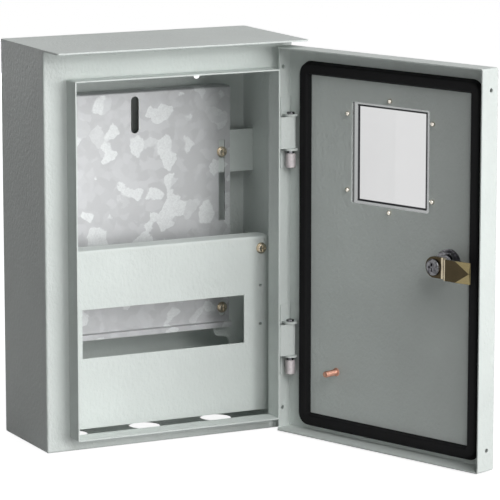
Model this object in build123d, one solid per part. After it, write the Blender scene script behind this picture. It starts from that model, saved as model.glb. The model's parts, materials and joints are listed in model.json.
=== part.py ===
from build123d import *
import os
from math import atan2, cos, pi, radians, sin

# Wall-mounted sheet-steel electrical enclosure with a hinged door, millimetres.
# Origin: centre of the four wall holes, on the outer face of the back wall. +X right, +Y back, +Z up.
# The door is modelled open, as it stands in use.

# Casing sheet and outline
BODY_WIDTH = 250.0
BODY_HEIGHT = 368.5
BODY_DEPTH = 100.5
SHEET = 1.2
BEND_R = 0.8

# Front rim and the lip that the gasket closes on
RIM_SIDE = 22.6
RIM_TOP = 26.2
RIM_FOOT = 12.75
LIP_LENGTH = 19.7
LIP_CORNER_R = 1.5

# Rain roof
ROOF_SHEET = 1.5
ROOF_OVERHANG = 33.3
ROOF_CORNER_R = 2.0

# Holes in the back wall and in the floor
WALL_HOLE_FROM_SIDE = 50.5
WALL_HOLE_FROM_END = 43.25
WALL_HOLE_R = 3.5
CABLE_HOLE_R = 15.0
CABLE_PITCH = 74.6
CABLE_FROM_BACK = 39.9

# Screws and washers shared by the plate, the rail and the cover
SCREW_R = 2.4
SCREW_FIT = 0.05
SCREW_HEAD_R = 4.1
SCREW_HEAD_H = 2.4
SCREW_DOME = 0.9
SCREW_TAIL = 3.0
DRIVE_WIDTH = 1.0
DRIVE_DEPTH = 1.1
WASHER_R = 5.15
WASHER_THICK = 1.0

# Meter plate and the crossbars behind it
BAR_SHEET = 1.5
BAR_FRONT = 21.2
BAR_HEIGHT = 40.0
BAR_TAB = 14.0
UPPER_BAR_BELOW_TOP = 114.75
LOWER_BAR_ABOVE_FOOT = 152.25
PLATE_SHEET = 1.5
PLATE_WIDTH = 197.4
PLATE_BELOW_TOP = 52.05
PLATE_BELOW_BAR = 16.0
PLATE_FLANGE = 17.5
PLATE_FLANGE_CHAMFER = 6.0
PLATE_CORNER_R = 2.0
PLATE_SCREW_X = 90.0
SIDE_SLOT_WIDTH = 6.4
SIDE_SLOT_ABOVE_UPPER_BAR = 11.4
SIDE_SLOT_ABOVE_LOWER_BAR = 35.7
CENTRE_SLOT_WIDTH = 8.0
CENTRE_SLOT_LENGTH = 34.7
CENTRE_SLOT_BELOW_TOP = 4.8

# Mounting rail and its brackets
RAIL_LENGTH = 183.0
RAIL_HEIGHT = 35.0
RAIL_CROWN = 27.0
RAIL_DEPTH = 7.5
RAIL_SHEET = 1.0
RAIL_CREASE_R = 0.3
RAIL_ABOVE_CUTOUT_MID = 1.35
RAIL_BACK = 34.0
RAIL_SLOT_FROM_END = 7.5
RAIL_SLOT_WIDTH = 6.2
RAIL_SLOT_LENGTH = 15.0
RAIL_SCREW_RISE = 0.8
BRACKET_SHEET = 1.5
BRACKET_TAB_PAST_SLOT = 8.9
BRACKET_POST_CLEARANCE = 0.8
BRACKET_TOP = 22.5
BRACKET_TAB_FOOT = 27.6
BRACKET_FOOT = 46.0
BRACKET_CURVE_R = 8.0
BRACKET_FLANGE = 18.0

# Cover panel and its brackets
COVER_BEHIND_RIM = 15.0
COVER_SHEET = 1.2
COVER_WIDTH = 216.6
COVER_HEIGHT = 166.3
COVER_ABOVE_FOOT = 15.45
COVER_FLANGE = 21.0
COVER_FLANGE_R = 8.0
COVER_BEND_R = 0.8
CUTOUT_WIDTH = 165.2
CUTOUT_HEIGHT = 45.6
CUTOUT_ABOVE_COVER_FOOT = 88.7
COVER_SCREW_X = 100.3
COVER_SCREW_DROP = 11.4
COVER_PIN_X = 99.6
COVER_PIN_R = 1.5
COVER_PIN_RISE = 30.6
COVER_PIN_DROP = 6.2
ANGLE_SHEET = 1.5
ANGLE_INNER_X = 92.0
ANGLE_FLANGE = 15.0
ANGLE_MARGIN = 4.0

# Copper-coated earth studs
STUD_R = 2.9
STUD_LENGTH = 16.0
STUD_COLLAR_R = 3.9
STUD_COLLAR_H = 0.8
STUD_CHAMFER = 0.5
WALL_STUD_FROM_RIM = 46.6
WALL_STUD_ABOVE_FOOT = 53.65
DOOR_STUD_FROM_HINGE = 60.75
DOOR_STUD_FROM_FOOT = 60.8

# Door pan
DOOR_SIDE_INSET = 0.4
DOOR_FOOT_INSET = 1.7
DOOR_TOP_GAP = 5.75
MOUTH_GAP = 1.25
LIP_TO_PANEL = 3.0
HINGE_EDGE_SETBACK = 7.1
HINGE_CORNER_CUT = 6.0
FLANGE_HOLE_R = 2.0
FLANGE_HOLE_FROM_PANEL = 9.3
FLANGE_HOLE_INSET = 19.5
DOOR_OPEN = 109.8

# Gasket
GASKET_WIDTH = 12.8
GASKET_HEIGHT = 5.5
GASKET_OUT_SIDE = 0.7
GASKET_OUT_TOP = 1.9
GASKET_OUT_FOOT = 0.6
GASKET_CORNER_R = 12.0
GASKET_TAPER = 28.0
GASKET_EDGE_CUT = 1.4

# Window
WINDOW_SIZE = 93.0
WINDOW_CORNER_R = 1.6
WINDOW_BELOW_LIP = 25.3
WINDOW_RIM = 9.0
WINDOW_RIM_R = 5.0
WINDOW_FACE_WIDTH = 81.0
WINDOW_FACE_HEIGHT = 87.0
WINDOW_FACE_R = 2.0
WINDOW_RISE = 2.0
PANE_WALL = 1.5
PANE_SCREW_R = 1.25
PANE_SCREW_FIT = 0.05
PANE_SCREW_HEAD_R = 2.7
PANE_SCREW_HEAD_H = 1.6
PANE_SCREW_HEAD_DOME = 1.0
PANE_SCREW_SIDE = 4.4
PANE_SCREW_Z = 35.1
PANE_NUT_R = 2.3
PANE_NUT_H = 2.9
PANE_NUT_DOME = 1.9
PANE_NUT_BORE = 1.8

# Quarter-turn cam lock
LOCK_FROM_EDGE = 53.1
LOCK_BELOW_MIDDLE = 0.4
LOCK_BODY_R = 9.0
LOCK_FIT = 0.1
LOCK_LENGTH = 19.0
LOCK_HEAD_R = 13.0
LOCK_HEAD_H = 2.8
LOCK_HEAD_CHAMFER = 0.9
LOCK_NUT_FLATS = 22.0
LOCK_NUT_H = 5.5
LOCK_NUT_CHAMFER = 0.8
LOCK_WASHER_R = 13.6
LOCK_WASHER_THICK = 1.2
PLUG_R = 5.5
PLUG_RUN = 0.05
PLUG_RECESS = 0.6
KEY_SLOT_LENGTH = 6.5
KEY_SLOT_WIDTH = 1.6
KEY_SLOT_DEPTH = 4.0
CAM_GAP = 0.2
CAM_SHEET = 2.5
CAM_WIDTH = 19.2
CAM_REACH = 45.0
CAM_CRANK = 5.5
CAM_CRANK_START = 11.5
CAM_CRANK_RUN = 6.0
CAM_FACET_LENGTH = 16.0
CAM_FACET_DROP = 1.7
CAM_SQUARE = 7.0
CAM_SQUARE_FIT = 0.1
CAM_SCREW_HEAD_R = 7.7
CAM_SCREW_HEAD_H = 3.0
CAM_SCREW_DOME = 2.0
CAM_SCREW_R = 2.4
CAM_SCREW_LENGTH = 9.0

# Hinges
PIN_FROM_LIP = 13.25
PIN_FROM_RIM = 15.4
PIN_R = 3.0
PIN_RUN = 0.05
HINGE_BELOW_TOP = 85.55
HINGE_ABOVE_FOOT = 87.55
LEAF_HEIGHT = 29.5
LEAF_SHEET = 1.5
LEAF_LEG = 15.0
LEAF_BEND_R = 0.3
LEAF_CURL_END = 200.0
EAR_GAP = 0.3
EAR_THICK = 1.9
EAR_R = 6.6
EAR_BACK = 5.0
HINGE_PLATE_THICK = 1.2
HINGE_PLATE_LENGTH = 67.0
HINGE_PLATE_DROP = 0.8
HINGE_PLATE_BACK = 12.8
HINGE_PLATE_R = 1.0
PIN_HEAD_R = 3.75
PIN_HEAD_H = 2.0
PIN_NECK_R = 3.45
PIN_NECK_H = 2.8
BUSH_R = 4.65
BUSH_LENGTH = 13.4
BUSH_CHAMFER = 0.5
BUSH_TAIL = 0.4

# Places worked out from the sizes above
HALF_W = BODY_WIDTH / 2
HALF_H = BODY_HEIGHT / 2
INNER_X = HALF_W - SHEET
RIM_Y = -BODY_DEPTH
BEND_OUTER_R = BEND_R + SHEET
LIP_X = HALF_W - RIM_SIDE
LIP_TOP_Z = HALF_H - RIM_TOP
LIP_FOOT_Z = -HALF_H + RIM_FOOT
LIP_Y = RIM_Y - LIP_LENGTH
WALL_HOLE_X = HALF_W - WALL_HOLE_FROM_SIDE
WALL_HOLE_Z = HALF_H - WALL_HOLE_FROM_END
UPPER_BAR_Z = HALF_H - UPPER_BAR_BELOW_TOP
LOWER_BAR_Z = -HALF_H + LOWER_BAR_ABOVE_FOOT
PLATE_TOP_Z = HALF_H - PLATE_BELOW_TOP
PLATE_FOOT_Z = LOWER_BAR_Z - PLATE_BELOW_BAR
COVER_Y = RIM_Y + COVER_BEHIND_RIM
COVER_BACK = COVER_Y + COVER_SHEET
COVER_FOOT_Z = -HALF_H + COVER_ABOVE_FOOT
COVER_TOP_Z = COVER_FOOT_Z + COVER_HEIGHT
COVER_SCREW_Z = COVER_TOP_Z - COVER_SCREW_DROP
CUTOUT_Z = COVER_FOOT_Z + CUTOUT_ABOVE_COVER_FOOT
RAIL_Z = CUTOUT_Z + RAIL_ABOVE_CUTOUT_MID
RAIL_SLOT_X = RAIL_LENGTH / 2 - RAIL_SLOT_FROM_END
BRACKET_TAB_X = RAIL_SLOT_X - BRACKET_TAB_PAST_SLOT
BRACKET_POST_X = RAIL_LENGTH / 2 + BRACKET_POST_CLEARANCE
WALL_STUD_Z = -HALF_H + WALL_STUD_ABOVE_FOOT
MOUTH_Y = RIM_Y - MOUTH_GAP
PANEL_Y = LIP_Y - LIP_TO_PANEL
DOOR_Y = PANEL_Y - SHEET
DOOR_X = HALF_W - DOOR_SIDE_INSET
DOOR_TOP_Z = HALF_H - DOOR_TOP_GAP
DOOR_FOOT_Z = -HALF_H + DOOR_FOOT_INSET
DOOR_MID_Z = (DOOR_TOP_Z + DOOR_FOOT_Z) / 2
PIN_X = LIP_X + PIN_FROM_LIP
PIN_Y = RIM_Y - PIN_FROM_RIM
PIN_AXIS = Axis((PIN_X, PIN_Y, 0), (0, 0, 1))
HINGE_UPPER_Z = HALF_H - HINGE_BELOW_TOP
HINGE_LOWER_Z = -HALF_H + HINGE_ABOVE_FOOT
WINDOW_Z = LIP_TOP_Z - WINDOW_BELOW_LIP - WINDOW_SIZE / 2
LOCK_X = -DOOR_X + LOCK_FROM_EDGE
LOCK_Z = DOOR_MID_Z - LOCK_BELOW_MIDDLE
CAM_Y = PANEL_Y + LOCK_LENGTH + CAM_GAP
CAM_BACK_Y = CAM_Y + CAM_SHEET
CUT_OVER = 5.0


def block(x0, x1, y0, y1, z0, z1):
    """Box between two corners."""
    return Pos((x0 + x1) / 2, (y0 + y1) / 2, (z0 + z1) / 2) * Box(x1 - x0, y1 - y0, z1 - z0)


def rod_x(y, z, radius, x0, x1):
    """Cylinder along X."""
    return Pos((x0 + x1) / 2, y, z) * Rot(0, 90, 0) * Cylinder(radius, x1 - x0)


def rod_y(x, z, radius, y0, y1):
    """Cylinder along Y."""
    return Pos(x, (y0 + y1) / 2, z) * Rot(90, 0, 0) * Cylinder(radius, y1 - y0)


def rod_z(x, y, radius, z0, z1):
    """Cylinder along Z."""
    return Pos(x, y, (z0 + z1) / 2) * Cylinder(radius, z1 - z0)


def front_plate(outline, y0, y1):
    """Sheet with an outline drawn in X and Z, between two depths."""
    return extrude(Plane.XZ.offset(-y1) * outline, amount=y1 - y0)


def flat_plate(outline, z0, z1):
    """Sheet with an outline drawn in X and Y, between two heights."""
    return extrude(Pos(0, 0, z0) * outline, amount=z1 - z0)


def edges_off(shape, axis, limit, above=True):
    """Edges whose centre lies to one side of a limit along an axis, 0 to 2."""
    sign = 1 if above else -1
    return [e for e in shape.edges() if sign * (tuple(e.center())[axis] - limit) > 0]


def both_sides(shape):
    """A shape and its mirror image across the middle plane."""
    return [shape, mirror(shape, about=Plane.YZ)]


def swing_open(shape):
    """Turns a piece of the closed door to the open rest pose."""
    return shape.rotate(PIN_AXIS, DOOR_OPEN)


# Casing: folded box with mitred rim and forward lip
def make_casing():
    outer = block(-HALF_W, HALF_W, RIM_Y, 0, -HALF_H, HALF_H)
    outer = fillet(edges_off(outer, 2, HALF_H - SHEET, above=False), BEND_OUTER_R)
    inner = block(-INNER_X, INNER_X, RIM_Y + SHEET, -SHEET, -HALF_H + SHEET, HALF_H - SHEET)
    inner = fillet(inner.edges(), BEND_R)
    lip = block(-LIP_X, LIP_X, LIP_Y, RIM_Y + SHEET, LIP_FOOT_Z, LIP_TOP_Z)
    lip = fillet(lip.edges().filter_by(Axis.Y), LIP_CORNER_R)
    mouth = block(-LIP_X + SHEET, LIP_X - SHEET, LIP_Y - CUT_OVER, RIM_Y + CUT_OVER,
                  LIP_FOOT_Z + SHEET, LIP_TOP_Z - SHEET)
    mouth = fillet(mouth.edges().filter_by(Axis.Y), LIP_CORNER_R - SHEET)
    casing = outer - inner + lip - mouth
    for x in (-WALL_HOLE_X, WALL_HOLE_X):
        for z in (-WALL_HOLE_Z, WALL_HOLE_Z):
            casing -= rod_y(x, z, WALL_HOLE_R, -CUT_OVER, CUT_OVER)
    for x in (-CABLE_PITCH, 0, CABLE_PITCH):
        casing -= rod_z(x, -CABLE_FROM_BACK, CABLE_HOLE_R, -HALF_H - CUT_OVER, -HALF_H + CUT_OVER)
    return casing


# Rain roof: flat sheet flush with the sides and the back, reaching out over the door
def make_roof():
    roof = block(-HALF_W, HALF_W, RIM_Y - ROOF_OVERHANG, 0, HALF_H, HALF_H + ROOF_SHEET)
    return fillet(roof.edges().filter_by(Axis.Z), ROOF_CORNER_R)


# Screws and washers, head toward the front
def make_screw(x, z, seat_y, length):
    head = rod_y(x, z, SCREW_HEAD_R, seat_y - SCREW_HEAD_H, seat_y)
    head = fillet(edges_off(head, 1, seat_y - SCREW_HEAD_H / 2, above=False), SCREW_DOME)
    shank = rod_y(x, z, SCREW_R, seat_y, seat_y + length)
    arm = SCREW_HEAD_R - SCREW_DOME
    top = seat_y - SCREW_HEAD_H
    slot = block(x - arm, x + arm, top, top + DRIVE_DEPTH, z - DRIVE_WIDTH / 2, z + DRIVE_WIDTH / 2)
    cross = block(x - DRIVE_WIDTH / 2, x + DRIVE_WIDTH / 2, top, top + DRIVE_DEPTH, z - arm, z + arm)
    return head + shank - slot - cross


def make_washer(x, z, seat_y):
    ring = rod_y(x, z, WASHER_R, seat_y - WASHER_THICK, seat_y)
    return ring - rod_y(x, z, SCREW_R + SCREW_FIT, seat_y - CUT_OVER, seat_y + CUT_OVER)


# Crossbars: flat painted bars with end tabs turned back on the side walls
def make_crossbar(centre_z):
    low = centre_z - BAR_HEIGHT / 2
    high = centre_z + BAR_HEIGHT / 2
    back = -BAR_FRONT + BAR_SHEET
    bar = block(-INNER_X, INNER_X, -BAR_FRONT, back, low, high)
    for side in both_sides(block(INNER_X - BAR_SHEET, INNER_X, back, back + BAR_TAB, low, high)):
        bar += side
    for x in (-PLATE_SCREW_X, PLATE_SCREW_X):
        bar -= rod_y(x, centre_z, SCREW_R + SCREW_FIT, -BAR_FRONT - CUT_OVER, back + CUT_OVER)
    return bar


# Meter plate: galvanised sheet on the crossbars, slotted for the meter's screws
def make_meter_plate():
    half = PLATE_WIDTH / 2
    front = -BAR_FRONT - PLATE_SHEET
    plate = block(-half, half, front, -BAR_FRONT, PLATE_FOOT_Z, PLATE_TOP_Z)
    low_corners = edges_off(plate.edges().filter_by(Axis.Y), 2, 0, above=False)
    plate = fillet(low_corners, PLATE_CORNER_R)
    flange = block(-half, half, front, front + PLATE_FLANGE, PLATE_TOP_Z - PLATE_SHEET, PLATE_TOP_Z)
    corners = edges_off(flange.edges().filter_by(Axis.Z), 1, -BAR_FRONT)
    plate += chamfer(corners, PLATE_FLANGE_CHAMFER)
    bend = plate.edges().filter_by(Axis.X).sort_by(lambda e: e.center().Y - e.center().Z)[0]
    plate = fillet(bend, BEND_OUTER_R)
    slot_top = UPPER_BAR_Z + SIDE_SLOT_ABOVE_UPPER_BAR
    slot_foot = LOWER_BAR_Z + SIDE_SLOT_ABOVE_LOWER_BAR
    side_z = (slot_top + slot_foot) / 2
    side_slot = Rectangle(SIDE_SLOT_WIDTH, slot_top - slot_foot)
    centre_z = PLATE_TOP_Z - CENTRE_SLOT_BELOW_TOP - CENTRE_SLOT_LENGTH / 2
    centre_slot = Rot(0, 0, 90) * SlotOverall(CENTRE_SLOT_LENGTH, CENTRE_SLOT_WIDTH)
    cuts = Pos(-PLATE_SCREW_X, side_z) * side_slot + Pos(PLATE_SCREW_X, side_z) * side_slot
    cuts += Pos(0, centre_z) * centre_slot
    plate -= front_plate(cuts, front - CUT_OVER, -BAR_FRONT + CUT_OVER)
    for x in (-PLATE_SCREW_X, PLATE_SCREW_X):
        plate -= rod_y(x, LOWER_BAR_Z, SCREW_R + SCREW_FIT, front - CUT_OVER, -BAR_FRONT + CUT_OVER)
    return plate


# Rail: top-hat section with a vertical slot near each end
def make_rail():
    back = -RAIL_BACK
    front = back - RAIL_DEPTH
    half = RAIL_LENGTH / 2
    low = RAIL_Z - RAIL_HEIGHT / 2
    high = RAIL_Z + RAIL_HEIGHT / 2
    crown = block(-half, half, front, back, RAIL_Z - RAIL_CROWN / 2, RAIL_Z + RAIL_CROWN / 2)
    wings = block(-half, half, front, front + RAIL_SHEET, low, high)
    hollow_half = RAIL_CROWN / 2 - RAIL_SHEET
    hollow = block(-half, half, front, back - RAIL_SHEET, RAIL_Z - hollow_half, RAIL_Z + hollow_half)
    rail = crown + wings - hollow
    creases = [e for e in rail.edges().filter_by(Axis.X) if abs(e.center().Z - RAIL_Z) < RAIL_HEIGHT / 2]
    rail = fillet(creases, RAIL_CREASE_R)
    slot = Rot(0, 0, 90) * SlotOverall(RAIL_SLOT_LENGTH, RAIL_SLOT_WIDTH)
    cuts = Pos(-RAIL_SLOT_X, RAIL_Z) * slot + Pos(RAIL_SLOT_X, RAIL_Z) * slot
    return rail - front_plate(cuts, back - RAIL_SHEET - CUT_OVER, back + CUT_OVER)


# Rail bracket: post along the side wall with a tab that runs in behind the rail on an S curve
def make_rail_bracket():
    back = -RAIL_BACK + BRACKET_SHEET
    top = RAIL_Z + BRACKET_TOP
    tab_foot = RAIL_Z - BRACKET_TAB_FOOT
    foot = RAIL_Z - BRACKET_FOOT
    corners = [(BRACKET_TAB_X, top), (INNER_X, top), (INNER_X, foot), (BRACKET_POST_X, foot)]
    corners += [(BRACKET_POST_X, tab_foot), (BRACKET_TAB_X, tab_foot)]
    outline = make_face(Polyline(*corners, close=True))
    curve = [v for v in outline.vertices() if abs(v.Y - tab_foot) < SHEET]
    outline = fillet(curve, BRACKET_CURVE_R)
    bracket = front_plate(outline, -RAIL_BACK, back)
    bracket += block(INNER_X - BRACKET_SHEET, INNER_X, back, back + BRACKET_FLANGE, foot, top)
    hole_z = RAIL_Z + RAIL_SCREW_RISE
    hole_r = SCREW_R + SCREW_FIT
    return bracket - rod_y(RAIL_SLOT_X, hole_z, hole_r, -RAIL_BACK - CUT_OVER, back + CUT_OVER)


# Cover panel: painted sheet in front of the rail, with the module cut-out and a top flange
def make_cover():
    half = COVER_WIDTH / 2
    panel = block(-half, half, COVER_Y, COVER_BACK, COVER_FOOT_Z, COVER_TOP_Z)
    flange = block(-half, half, COVER_Y, COVER_Y + COVER_FLANGE, COVER_TOP_Z - COVER_SHEET, COVER_TOP_Z)
    corners = edges_off(flange.edges().filter_by(Axis.Z), 1, COVER_BACK)
    panel += fillet(corners, COVER_FLANGE_R)
    bend = panel.edges().filter_by(Axis.X).sort_by(lambda e: e.center().Y - e.center().Z)[0]
    panel = fillet(bend, COVER_BEND_R + COVER_SHEET)
    cutout = Pos(0, CUTOUT_Z) * Rectangle(CUTOUT_WIDTH, CUTOUT_HEIGHT)
    front = COVER_Y - CUT_OVER
    back = COVER_BACK + CUT_OVER
    panel -= front_plate(cutout, front, back)
    for x in (-COVER_SCREW_X, COVER_SCREW_X):
        panel -= rod_y(x, COVER_SCREW_Z, SCREW_R + SCREW_FIT, front, back)
    for x in (-COVER_PIN_X, COVER_PIN_X):
        for z in (CUTOUT_Z + COVER_PIN_RISE, CUTOUT_Z - COVER_PIN_DROP):
            panel -= rod_y(x, z, COVER_PIN_R, front, back)
    return panel


# Cover bracket: angle on the side wall that the cover panel is screwed to
def make_cover_bracket():
    foot = COVER_FOOT_Z + ANGLE_MARGIN
    top = COVER_TOP_Z - COVER_SHEET - ANGLE_MARGIN
    back = COVER_BACK + ANGLE_SHEET
    angle = block(ANGLE_INNER_X, INNER_X, COVER_BACK, back, foot, top)
    angle += block(INNER_X - ANGLE_SHEET, INNER_X, back, COVER_BACK + ANGLE_FLANGE, foot, top)
    angle -= rod_y(COVER_SCREW_X, COVER_SCREW_Z, SCREW_R + SCREW_FIT, COVER_BACK - CUT_OVER, back + CUT_OVER)
    for z in (CUTOUT_Z + COVER_PIN_RISE, CUTOUT_Z - COVER_PIN_DROP):
        angle -= rod_y(COVER_PIN_X, z, COVER_PIN_R, COVER_BACK - CUT_OVER, back + CUT_OVER)
    return angle


# Earth stud: welded stud with a collar, standing up from the origin
def make_stud():
    stud = rod_z(0, 0, STUD_R, 0, STUD_LENGTH)
    stud = chamfer(edges_off(stud, 2, STUD_LENGTH / 2), STUD_CHAMFER)
    return stud + rod_z(0, 0, STUD_COLLAR_R, 0, STUD_COLLAR_H)


# Hinge leaf: gooseneck on the outer face of the lip, rolled round the pin
def make_leaf(centre_z):
    low = centre_z - LEAF_HEIGHT / 2
    high = centre_z + LEAF_HEIGHT / 2
    eye_r = PIN_R + PIN_RUN
    curl_r = eye_r + LEAF_SHEET
    front = PIN_Y - curl_r
    leg = block(LIP_X, LIP_X + LEAF_SHEET, front, front + LEAF_LEG, low, high)
    web = block(LIP_X, PIN_X, front, front + LEAF_SHEET, low, high)
    neck = leg + web
    corner = neck.edges().filter_by(Axis.Z).sort_by(lambda e: e.center().X + e.center().Y)[0]
    neck = fillet(corner, LEAF_BEND_R + LEAF_SHEET)
    curl = rod_z(PIN_X, PIN_Y, curl_r, low, high)
    sweep_end = radians(LEAF_CURL_END)
    far = curl_r * 2
    points = [(PIN_X, PIN_Y), (PIN_X, PIN_Y - far), (PIN_X - far, PIN_Y - far)]
    points += [(PIN_X + far * cos(sweep_end), PIN_Y + far * sin(sweep_end))]
    gap = flat_plate(make_face(Polyline(*points, close=True)), low, high)
    curl -= gap
    return neck + curl - rod_z(PIN_X, PIN_Y, eye_r, low - CUT_OVER, high + CUT_OVER)


# Hinge bracket: flat plate inside the door's hinge flange with two ears round the pin
def make_hinge_bracket(centre_z):
    plate_x = DOOR_X - SHEET
    inner_x = plate_x - HINGE_PLATE_THICK
    mid = centre_z - HINGE_PLATE_DROP
    front = PIN_Y - EAR_R
    plate = block(inner_x, plate_x, front, front + HINGE_PLATE_BACK,
                  mid - HINGE_PLATE_LENGTH / 2, mid + HINGE_PLATE_LENGTH / 2)
    plate = fillet(plate.edges().filter_by(Axis.X), HINGE_PLATE_R)
    inner = LEAF_HEIGHT / 2 + EAR_GAP
    for low in (centre_z - inner - EAR_THICK, centre_z + inner):
        ear = block(PIN_X, plate_x, PIN_Y - EAR_R, PIN_Y + EAR_BACK, low, low + EAR_THICK)
        ear += rod_z(PIN_X, PIN_Y, EAR_R, low, low + EAR_THICK)
        plate += ear
    reach = LEAF_HEIGHT + EAR_THICK + CUT_OVER
    return plate - rod_z(PIN_X, PIN_Y, PIN_R + PIN_RUN, centre_z - reach, centre_z + reach)


# Hinge pin: headed above the upper ear, with a neck under the lower ear and a bush on its foot
def ear_span(centre_z):
    half = LEAF_HEIGHT / 2 + EAR_GAP + EAR_THICK
    return centre_z - half, centre_z + half


def make_pin(centre_z):
    low, high = ear_span(centre_z)
    foot = low - PIN_NECK_H - BUSH_LENGTH - BUSH_TAIL
    pin = rod_z(PIN_X, PIN_Y, PIN_R, foot, high)
    head = rod_z(PIN_X, PIN_Y, PIN_HEAD_R, high, high + PIN_HEAD_H)
    head = fillet(edges_off(head, 2, high + PIN_HEAD_H / 2), PIN_HEAD_H / 2)
    return pin + head + rod_z(PIN_X, PIN_Y, PIN_NECK_R, low - PIN_NECK_H, low)


def make_bush(centre_z):
    top = ear_span(centre_z)[0] - PIN_NECK_H
    bush = rod_z(PIN_X, PIN_Y, BUSH_R, top - BUSH_LENGTH, top)
    bush = chamfer(bush.edges(), BUSH_CHAMFER)
    return bush - rod_z(PIN_X, PIN_Y, PIN_R + PIN_RUN, top - BUSH_LENGTH - CUT_OVER, top + CUT_OVER)


def pane_screw_places():
    """Places of the window's screws on the door."""
    half = WINDOW_SIZE / 2 + PANE_SCREW_SIDE
    places = [(x, WINDOW_Z + z) for x in (-half, half) for z in (-PANE_SCREW_Z, PANE_SCREW_Z)]
    return places + [(0, WINDOW_Z - half), (0, WINDOW_Z + half)]


# Door pan, drawn closed: folded sheet with flanges toward the casing
def make_door_pan():
    outer = block(-DOOR_X, DOOR_X, DOOR_Y, MOUTH_Y, DOOR_FOOT_Z, DOOR_TOP_Z)
    outer = fillet(edges_off(outer, 1, MOUTH_Y - SHEET, above=False), BEND_OUTER_R)
    inner = block(-DOOR_X + SHEET, DOOR_X - SHEET, PANEL_Y, MOUTH_Y + CUT_OVER,
                  DOOR_FOOT_Z + SHEET, DOOR_TOP_Z - SHEET)
    inner = fillet(edges_off(inner, 1, MOUTH_Y - SHEET, above=False), BEND_R)
    pan = outer - inner
    edge_y = MOUTH_Y - HINGE_EDGE_SETBACK
    corner = [(DOOR_X + CUT_OVER, edge_y), (DOOR_X, edge_y), (DOOR_X - HINGE_CORNER_CUT, MOUTH_Y)]
    corner += [(DOOR_X - HINGE_CORNER_CUT, MOUTH_Y + CUT_OVER), (DOOR_X + CUT_OVER, MOUTH_Y + CUT_OVER)]
    pan -= flat_plate(make_face(Polyline(*corner, close=True)), DOOR_FOOT_Z, DOOR_TOP_Z)
    pan -= block(DOOR_X - SHEET, DOOR_X, edge_y, MOUTH_Y, DOOR_FOOT_Z + SHEET, DOOR_TOP_Z - SHEET)
    window = Pos(0, WINDOW_Z) * RectangleRounded(WINDOW_SIZE, WINDOW_SIZE, WINDOW_CORNER_R)
    pan -= front_plate(window, DOOR_Y - CUT_OVER, PANEL_Y + CUT_OVER)
    pan -= rod_y(LOCK_X, LOCK_Z, LOCK_BODY_R + LOCK_FIT, DOOR_Y - CUT_OVER, PANEL_Y + CUT_OVER)
    for x, z in pane_screw_places():
        pan -= rod_y(x, z, PANE_SCREW_R + PANE_SCREW_FIT, DOOR_Y - CUT_OVER, PANEL_Y + CUT_OVER)
    hole_y = PANEL_Y + FLANGE_HOLE_FROM_PANEL
    for z in (DOOR_FOOT_Z + FLANGE_HOLE_INSET, DOOR_TOP_Z - FLANGE_HOLE_INSET):
        pan -= rod_x(hole_y, z, FLANGE_HOLE_R, -DOOR_X - CUT_OVER, DOOR_X + CUT_OVER)
    return pan


# Gasket: foam strip on the panel, centred on the lip that presses into it
def make_gasket():
    mid_x = LIP_X - SHEET / 2 + GASKET_OUT_SIDE
    top = LIP_TOP_Z - SHEET / 2 + GASKET_OUT_TOP
    foot = LIP_FOOT_Z + SHEET / 2 - GASKET_OUT_FOOT
    mid_z = (top + foot) / 2
    wide = 2 * mid_x
    tall = top - foot
    outer = RectangleRounded(wide + GASKET_WIDTH, tall + GASKET_WIDTH, GASKET_CORNER_R)
    inner = Rectangle(wide - GASKET_WIDTH, tall - GASKET_WIDTH)
    seat = Plane((0, PANEL_Y, 0), x_dir=(-1, 0, 0), z_dir=(0, 1, 0))
    strip = extrude(seat * Pos(0, mid_z) * outer, amount=GASKET_HEIGHT, taper=GASKET_TAPER)
    strip -= extrude(seat * Pos(0, mid_z) * inner, amount=GASKET_HEIGHT, taper=-GASKET_TAPER)
    crest = strip.faces().sort_by(Axis.Y)[-1]
    return chamfer(crest.edges(), GASKET_EDGE_CUT)


# Window: clear pane screwed on the outside of the door, its middle pressed a little outward
def make_pane():
    rim_size = WINDOW_SIZE + 2 * WINDOW_RIM
    rim = Pos(0, WINDOW_Z) * RectangleRounded(rim_size, rim_size, WINDOW_RIM_R)
    pane = front_plate(rim, DOOR_Y - PANE_WALL, DOOR_Y)
    seat = Plane((0, DOOR_Y, WINDOW_Z), x_dir=(1, 0, 0), z_dir=(0, -1, 0))
    foot = RectangleRounded(WINDOW_SIZE, WINDOW_SIZE, WINDOW_FACE_R)
    face = RectangleRounded(WINDOW_FACE_WIDTH, WINDOW_FACE_HEIGHT, WINDOW_FACE_R)
    pressed = loft([seat * foot, seat.offset(WINDOW_RISE) * face])
    pane += Pos(0, -PANE_WALL, 0) * pressed
    pane -= pressed
    for x, z in pane_screw_places():
        pane -= rod_y(x, z, PANE_SCREW_R + PANE_SCREW_FIT, DOOR_Y - CUT_OVER, DOOR_Y + CUT_OVER)
    return pane


# Window screws: domed head outside, cap nut inside
def make_pane_screw(x, z):
    seat = DOOR_Y - PANE_WALL
    head = rod_y(x, z, PANE_SCREW_HEAD_R, seat - PANE_SCREW_HEAD_H, seat)
    head = fillet(edges_off(head, 1, seat - PANE_SCREW_HEAD_H / 2, above=False), PANE_SCREW_HEAD_DOME)
    return head + rod_y(x, z, PANE_SCREW_R, seat, PANEL_Y + PANE_NUT_BORE)


def make_pane_nut(x, z):
    nut = rod_y(x, z, PANE_NUT_R, PANEL_Y, PANEL_Y + PANE_NUT_H)
    nut = fillet(edges_off(nut, 1, PANEL_Y + PANE_NUT_H / 2), PANE_NUT_DOME)
    return nut - rod_y(x, z, PANE_SCREW_R + PANE_SCREW_FIT, PANEL_Y - CUT_OVER, PANEL_Y + PANE_NUT_BORE)


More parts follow.
